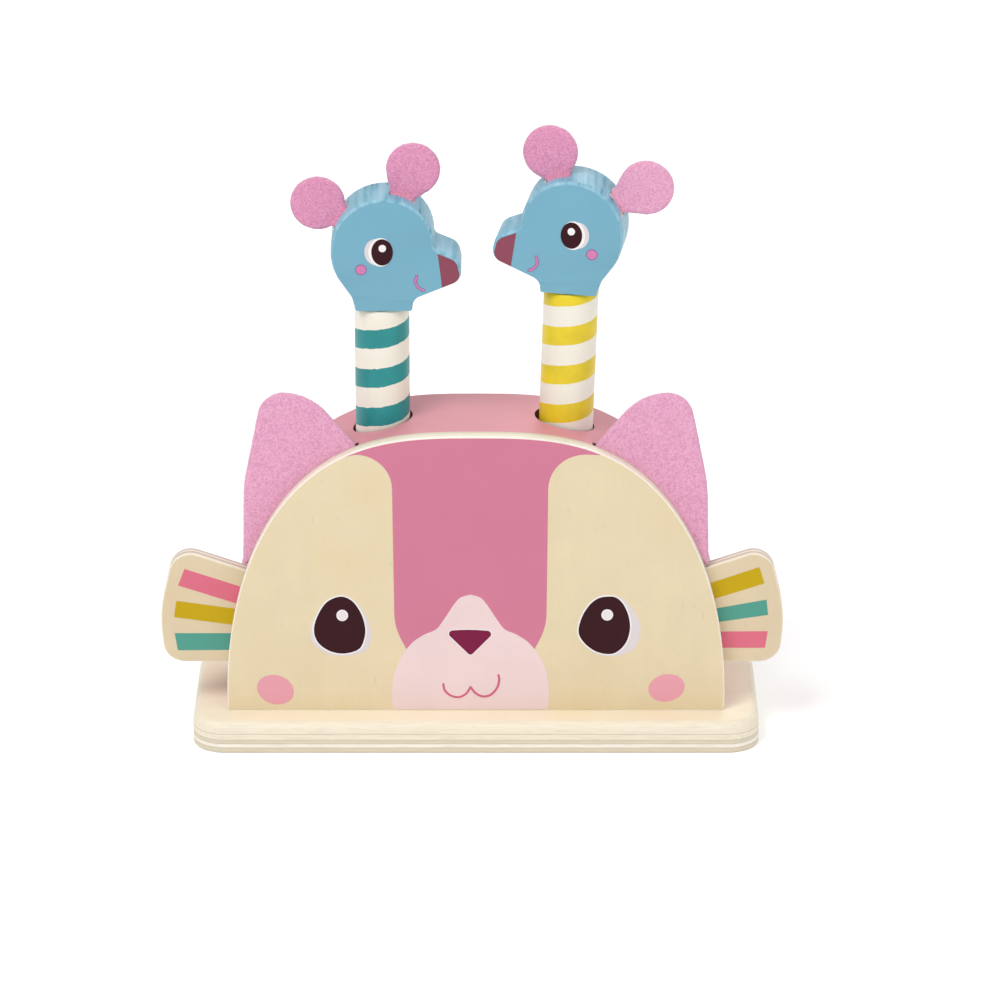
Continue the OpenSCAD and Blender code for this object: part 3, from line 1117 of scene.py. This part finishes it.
def add_cat_ear(side):
    name = "cat_ear_" + SIDE_NAMES[side]
    low, high = node_box(name)
    outline = rounded(CAT_EAR, 10)
    solid = board(outline, low.y, high.y, FELT_EDGE, FELT_EDGE, mirror_place(side))
    piece = new_piece(name + "_felt", "base", *solid, ["felt"], "felt")
    felt_surface(piece, "felt_pale")
    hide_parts(name)


# ---- the mice -------------------------------------------------------------

HEAD = [
    (10.4, 0, 0.9), (10.7, 4.5, 4.5), (28.8, 12, 4.5), (27.2, 20.3, 5.2), (18.3, 24.1, 2.6),
    (17.9, 42.8, 17.4), (-18.6, 43.1, 19.7), (-19.2, 16.3, 19), (-11.5, 5, 7), (-10.3, 0, 0.9),
]
HEAD_MIDDLE = Vector((-0.3, 0, 23.8))
HEAD_R = 18.6
HEAD_EDGE = 1.4
# Each felt ear: its angle from the head's top towards the snout, and its disc's height and radius
EARS = {
    LEFT: {"front": (22.3, 10.7, 9.8), "rear": (-58.8, 8.9, 9.9)},
    RIGHT: {"front": (20.4, 9.7, 10), "rear": (-58.2, 11.4, 10)},
}
EAR_ROOT_HALF = 4.6
EAR_ROOT_DEPTH = 3.6
SLOT_DEPTH = 4.0
# The bare seat that each ear stands on: half its width, and how deep it is cut
SEAT_HALF = 4.6
SEAT_DEPTH = 0.9
# The widths of the line round a blush and of the smile
BLUSH_RIM = 0.25
SMILE_LINES = (1.15, 0.75)


def mouse_place(side):
    """Puts a point of a mouse's side view into the frame: x towards the snout, z up from the neck."""
    stand = NECK[side] @ Matrix.Rotation(math.radians(TURN[side]), 4, "Z")

    def put(x, z, depth):
        return stand @ Vector((-side * (x + HEAD_SHIFT[side]), depth, z))

    return put


def head_side(side):
    """The direction that the thickness of a head runs along."""
    put = mouse_place(side)
    return (put(0, 0, 1) - put(0, 0, 0)).normalized()


def head_easing(_x, z):
    """How wide the rounding of a head's edge is: full at the top, next to none below."""
    return 0.52 + 0.45 * z


def on_head(side, turn):
    """Puts a point that stands on the round of the head, z = 0 at its surface, into the frame."""
    put = mouse_place(side)
    spin = Matrix.Rotation(math.radians(turn), 3, "Y")

    def place(x, y, z):
        p = HEAD_MIDDLE + spin @ Vector((x, y, HEAD_R + z))
        return put(p.x, p.z, p.y)

    return place


def nose_tip():
    """The end of the snout's face, in front of an almost upright line."""
    margin = 0.1
    face = inset(rounded(HEAD, 12), HEAD_EDGE + margin, head_easing)
    line_x, line_lean, line_z = 20.4, -0.12, 16
    neck_top = 5
    n = len(face)
    tip = []
    for i, p in enumerate(face):
        q = face[(i + 1) % n]
        p_past = p.x - line_x - line_lean * (p.y - line_z)
        q_past = q.x - line_x - line_lean * (q.y - line_z)
        if p_past > 0:
            tip.append(p)
        if (p_past > 0) != (q_past > 0) and min(p.y, q.y) > neck_top:
            tip.append(p.lerp(q, p_past / (p_past - q_past)))
    return tip


def print_mouse(side, view, towards):
    """The print on one face of a head: eye, blush, smile and nose."""
    put = mouse_place(side)
    tag = f"mouse_{SIDE_NAMES[side]}_{view}_"

    def coat(part, outline, layer, material):
        face = towards * HEAD_T / 2
        print_on(tag + part, outline, face, layer, material, MOUSE[side], towards, put)

    coat("eye_shade", ellipse(-2.7, 22.7, 4.1, 5.0), 0, "eye_shade")
    coat("eye_white", ellipse(-1.0, 22.6, 4.35, 5.45), 1, "eye_white")
    coat("pupil", ellipse(-0.4, 22.6, 3.9, 5.0), 2, "pupil_brown")
    coat("glint_rim", ellipse(-0.3, 24.1, 1.35, 1.4), 3, "eye_white")
    coat("blush_line", ellipse(-8.1, 15.9, 1.85 + BLUSH_RIM, 1.8 + BLUSH_RIM), 0, "blush_line")
    coat("blush", ellipse(-8.1, 15.9, 1.85, 1.8), 1, "mouse_blush")
    smile = open_curve([(12.1, 13.4), (11.6, 11.8), (11.9, 10.2), (13.0, 8.8), (14.5, 8.1)], 6)
    coat("smile_line", stroke(smile, SMILE_LINES[0]), 0, "blush_line")
    coat("smile", stroke(smile, SMILE_LINES[1]), 1, "mouse_blush")
    coat("nose", nose_tip(), 0, "mouse_nose")


def ear_seats(side):
    """What is cut out of a head for its ears: a shallow seat, and in it the slot for the root."""
    half_w, half_slot = EAR_ROOT_HALF + SLOT_PLAY, FELT_T / 2 + SLOT_PLAY
    above = 4
    seats = []
    for turn, _height, _radius in EARS[side].values():
        place = on_head(side, turn)
        seat = box_solid(-half_w, half_w, -SEAT_HALF, SEAT_HALF, -SEAT_DEPTH, above, place)
        slot = box_solid(-half_w, half_w, -half_slot, half_slot, -SLOT_DEPTH, above, place)
        seats += [(*seat, "seat_cream"), (*slot, "raw_wood")]
    return seats


def add_head(side):
    name = "head_" + SIDE_NAMES[side]
    half_t = HEAD_T / 2
    put = mouse_place(side)
    piece = new_piece(
        "mouse_" + name, MOUSE[side],
        *board(rounded(HEAD, 12), -half_t, half_t, HEAD_EDGE, HEAD_EDGE, put, head_easing),
        ["mouse_face", "mouse_edge"], "blue_paint", face_or_edge(head_side(side)),
    )
    cut(piece, ear_seats(side))
    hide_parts(name)
    print_mouse(side, "front", -1)
    print_mouse(side, "back", 1)


def ear_outline(height, radius):
    """A disc that narrows to a straight root, which runs on below z = 0."""
    root = Vector((EAR_ROOT_HALF, 0))
    reach = Vector((0, height)) - root
    side_line = Matrix.Rotation(-math.asin(radius / reach.length), 2) @ reach
    touch = root + side_line.normalized() * math.sqrt(reach.length**2 - radius**2)
    start = math.atan2(touch.y - height, touch.x)
    steps = 48
    crown = []
    for i in range(steps + 1):
        angle = start + (math.pi - 2 * start) * i / steps
        crown.append(Vector((radius * math.cos(angle), height + radius * math.sin(angle))))
    foot = [Vector((-EAR_ROOT_HALF, -EAR_ROOT_DEPTH)), Vector((EAR_ROOT_HALF, -EAR_ROOT_DEPTH))]
    return [*foot, root, *crown, Vector((-EAR_ROOT_HALF, 0))]


def add_mouse_ear(side, which):
    name = f"ear_{which}_{SIDE_NAMES[side]}"
    turn, height, radius = EARS[side][which]
    place = on_head(side, turn)

    def put(x, z, depth):
        return place(x, depth, z)

    outline = ear_outline(height, radius)
    piece = new_piece(
        name + "_felt", MOUSE[side],
        *board(outline, -FELT_T / 2, FELT_T / 2, FELT_EDGE, FELT_EDGE, put), ["felt"], "felt",
    )
    felt_surface(piece, "felt_pale" if (side, which) == (RIGHT, "rear") else "felt")
    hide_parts(name)


# Down to here below the neck, a peg is painted dark: painted shadow under the head
PAINTED_SHADOW_BAND = 0.5


def add_peg(side):
    """A turned peg with eased edges, and painted shadow under its head."""
    name = "peg_" + SIDE_NAMES[side]
    levels = 30
    profile = [(PEG_R - 1, 0), (PEG_R, 1)]
    profile += [(PEG_R, 1 + (PEG_LEN - 2.2) * i / levels) for i in range(1, levels + 1)]
    profile += [(PEG_R - 0.2, PEG_LEN - 0.8), (PEG_R - 0.8, PEG_LEN - 0.35), (PEG_R - 1.6, PEG_LEN)]
    rings = [
        [NECK[side] @ Vector((r * c, r * s, z - PEG_LEN)) for c, s in circle(96)] for r, z in profile
    ]
    inwards = NECK[side].inverted()

    def in_painted_shadow(polygon):
        return 1 if (inwards @ (polygon.center / MM)).z > -PAINTED_SHADOW_BAND else 0

    slot = "teal_paint" if side == LEFT else "yellow_paint"
    piece = new_piece(
        name + "_dowel", MOUSE[side], *loft(rings), [name, "bore_dark"], slot, in_painted_shadow
    )
    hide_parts(name)


def joint_travel(name):
    """How far a press joint goes down, in metres."""
    ranges = {joint["name"]: joint.get("range_m") for joint in frame["record"]["behaviour"]["joints"]}
    return -min(ranges[name])


def add_spring(side):
    """A wound wire under a peg."""
    name = "spring_" + SIDE_NAMES[side]
    low, high = node_box(name)
    middle = (low + high) / 2
    outer = (high.y - low.y) / 2
    turns, per_turn, wire_r, sides = 10, 24, 0.6, 8
    coil_r = outer - wire_r
    count = turns * per_turn
    rings = []
    for k in range(count + 1):
        along = math.tau * k / per_turn
        out_way = Vector((math.cos(along), math.sin(along), 0))
        centre = middle + out_way * coil_r
        centre.z = low.z + wire_r + (high.z - low.z - 2 * wire_r) * k / count
        rings.append([centre + (out_way * c + ALONG_Z * s) * wire_r for c, s in circle(sides)])
    piece = new_piece(name + "_wire", "base", *loft(rings), ["steel"], "steel")
    joint = "press_" + SIDE_NAMES[side]
    foot = low * MM
    keep = 1 - joint_travel(joint) / (high.z * MM - foot.z)
    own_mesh(piece)
    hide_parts(name)


def dress_inner_pieces():
    """The CAD nodes that stay: steel on the hardware, bare wood on the neck pins."""
    for name, obj in frame["nodes"].items():
        if obj.hide_render:
            continue
        material = M["raw_wood"] if name.startswith("neck_pin") else M["steel"]
        obj.data.materials.clear()
        obj.data.materials.append(material)


# ---- all of it ------------------------------------------------------------

set_stage()
add_base()
add_block()
add_panel()
add_face()
for side in (LEFT, RIGHT):
    add_whisker(side)
    add_cat_ear(side)
    add_head(side)
    for which in EARS[side]:
        add_mouse_ear(side, which)
    add_peg(side)
    add_spring(side)
dress_inner_pieces()
